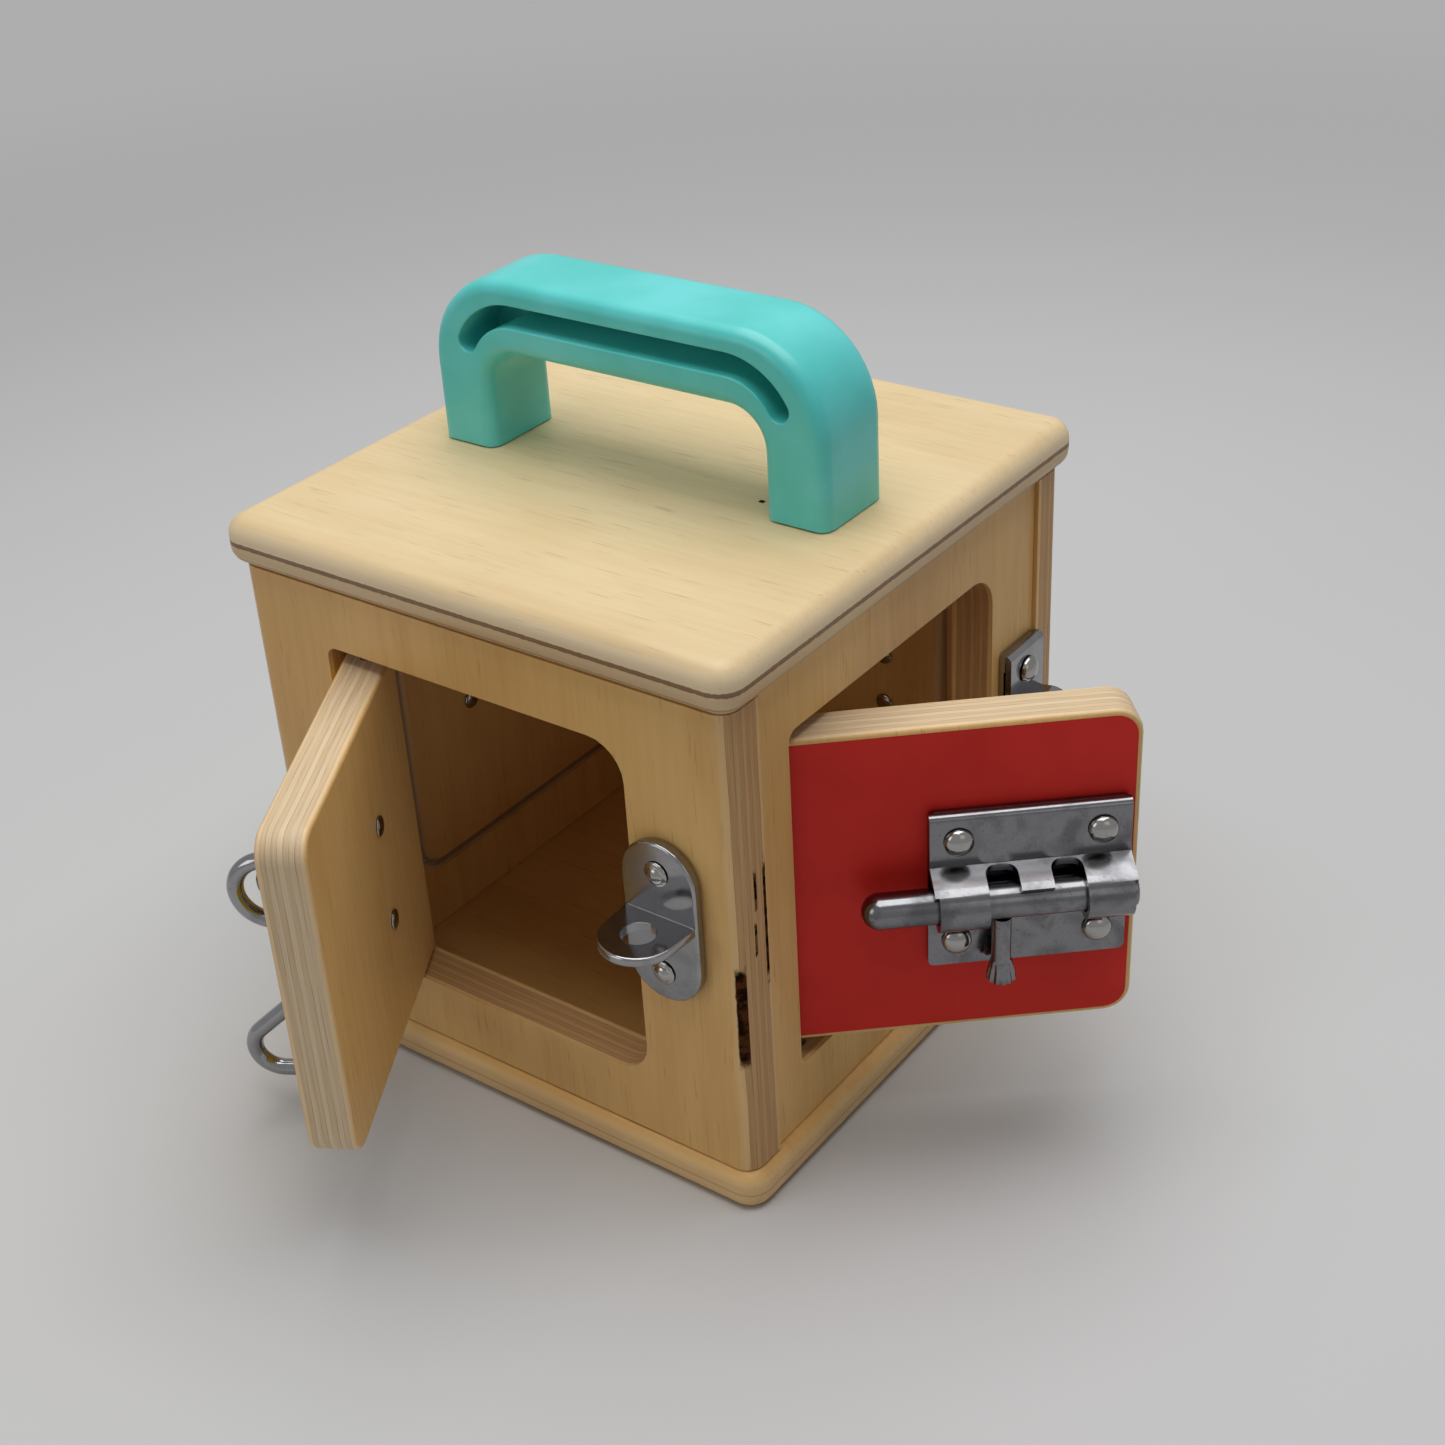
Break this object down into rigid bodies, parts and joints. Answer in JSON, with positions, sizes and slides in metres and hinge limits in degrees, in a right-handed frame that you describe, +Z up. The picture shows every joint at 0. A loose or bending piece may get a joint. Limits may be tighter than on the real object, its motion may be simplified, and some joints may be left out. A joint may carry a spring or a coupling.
{
  "type": "latch box",
  "caption": "Wooden cube box with a hinged door in each wall, every door held by its own kind of latch, and a moulded carry handle on the lid",
  "frame": {"origin": "centre of the base board's underside, where the box stands", "axes": "+X to the right of the wall with the cabin hook, which faces -Y; +Z up through the carry handle"},
  "size_m": [0.2124, 0.2611, 0.1926],
  "materials": {
    "birch": "clear satin lacquer over birch plywood, laminations bare at the edges",
    "teal_plastic": "satin moulded plastic",
    "red_sheet": "glossy coloured face sheet",
    "yellow_sheet": "glossy coloured face sheet",
    "blue_sheet": "glossy coloured face sheet",
    "green_sheet": "glossy coloured face sheet",
    "chrome": "bright plating",
    "steel": "bare steel"
  },
  "bodies": {
    "body": {"base_board": "birch", "lid_board": "birch", "front_panel": "birch", "right_panel": "birch", "back_panel": "birch", "left_panel": "birch", "carry_handle": "teal_plastic", "handle_screw_left": "steel", "handle_screw_right": "steel", "front_hinge_pin_bottom": "steel", "front_hinge_pin_top": "steel", "right_hinge_pin_bottom": "steel", "right_hinge_pin_top": "steel", "back_hinge_pin_bottom": "steel", "back_hinge_pin_top": "steel", "left_hinge_pin_bottom": "steel", "left_hinge_pin_top": "steel", "bolt_keeper": "chrome", "keeper_screw_lower_1": "chrome", "keeper_screw_upper_1": "chrome", "catch_bracket": "chrome", "catch_bracket_rivet_lower": "chrome", "catch_bracket_rivet_upper": "chrome", "bar_keeper": "chrome", "bar_keeper_screw_1": "chrome", "bar_keeper_screw_2": "chrome", "staple_plate": "chrome", "staple_screw_1": "chrome", "staple_screw_2": "chrome"},
    "front_door": {"front_door": "birch", "front_door_face": "yellow_sheet", "hook_bracket": "chrome", "hook_bracket_rivet_lower": "chrome", "hook_bracket_rivet_upper": "chrome"},
    "right_door": {"right_door": "birch", "right_door_face": "red_sheet", "bolt_plate": "chrome", "bolt_screw_lower_1": "chrome", "bolt_screw_lower_2": "chrome", "bolt_screw_upper_1": "chrome", "bolt_screw_upper_2": "chrome"},
    "back_door": {"back_door": "birch", "back_door_face": "blue_sheet", "hasp_leaf": "chrome", "hasp_pin": "steel", "hasp_rivet_1": "chrome", "hasp_rivet_2": "chrome"},
    "left_door": {"left_door": "birch", "left_door_face": "green_sheet", "bar_washer": "chrome", "bar_pivot": "chrome"},
    "hook_eye": {"hook_eye": "chrome"},
    "hook_shank": {"hook_shank": "chrome"},
    "bolt_rod": {"bolt_rod": "chrome"},
    "bolt_knob": {"bolt_knob": "chrome"},
    "swing_bar": {"swing_bar": "chrome"},
    "hasp_strap": {"hasp_strap": "chrome"},
    "staple": {"staple": "chrome"}
  },
  "joints": [
    {"name": "front_door_hinge", "type": "hinge", "parent": "body", "child": "front_door", "pos_m": [-0.0391, -0.0662, 0.0719], "axis": [0, 0, -1], "range_deg": [-60.2, 34.8]},
    {"name": "right_door_hinge", "type": "hinge", "parent": "body", "child": "right_door", "pos_m": [0.0652, -0.042, 0.0739], "axis": [0, 0, -1], "range_deg": [-49, 46]},
    {"name": "back_door_hinge", "type": "hinge", "parent": "body", "child": "back_door", "pos_m": [0.0391, 0.0662, 0.0725], "axis": [0, 0, -1], "range_deg": [0, 95]},
    {"name": "left_door_hinge", "type": "hinge", "parent": "body", "child": "left_door", "pos_m": [-0.0652, 0.042, 0.0725], "axis": [0, 0, -1], "range_deg": [0, 95]},
    {"name": "hook_turn", "type": "hinge", "parent": "front_door", "child": "hook_eye", "pos_m": [-0.03949, -0.09892, 0.0718], "axis": [0, 0, 1], "range_deg": [-30, 90]},
    {"name": "hook_lift", "type": "hinge", "parent": "hook_eye", "child": "hook_shank", "pos_m": [-0.04556, -0.1024, 0.0671], "axis": [-0.497, 0.8678, 0], "range_deg": [0, 112]},
    {"name": "bolt_slide", "type": "slide", "parent": "right_door", "child": "bolt_rod", "axis": [0.7547, 0.6561, 0], "range_m": [0, 0.0149]},
    {"name": "bolt_turn", "type": "hinge", "parent": "bolt_rod", "child": "bolt_knob", "pos_m": [0.10875, -0.02137, 0.073], "axis": [-0.7547, -0.6561, 0], "range_deg": [0, 150]},
    {"name": "bar_swing", "type": "hinge", "parent": "left_door", "child": "swing_bar", "pos_m": [-0.074, -0.0128, 0.071], "axis": [1, 0, 0], "range_deg": [0, 90]},
    {"name": "hasp_swing", "type": "hinge", "parent": "back_door", "child": "hasp_strap", "pos_m": [-0.0109, 0.0749, 0.066], "axis": [0, 0, 1], "range_deg": [-75, 90]},
    {"name": "staple_turn", "type": "hinge", "parent": "body", "child": "staple", "pos_m": [-0.0522, 0.072, 0.066], "axis": [0, 1, 0], "range_deg": [0, 90]}
  ]
}
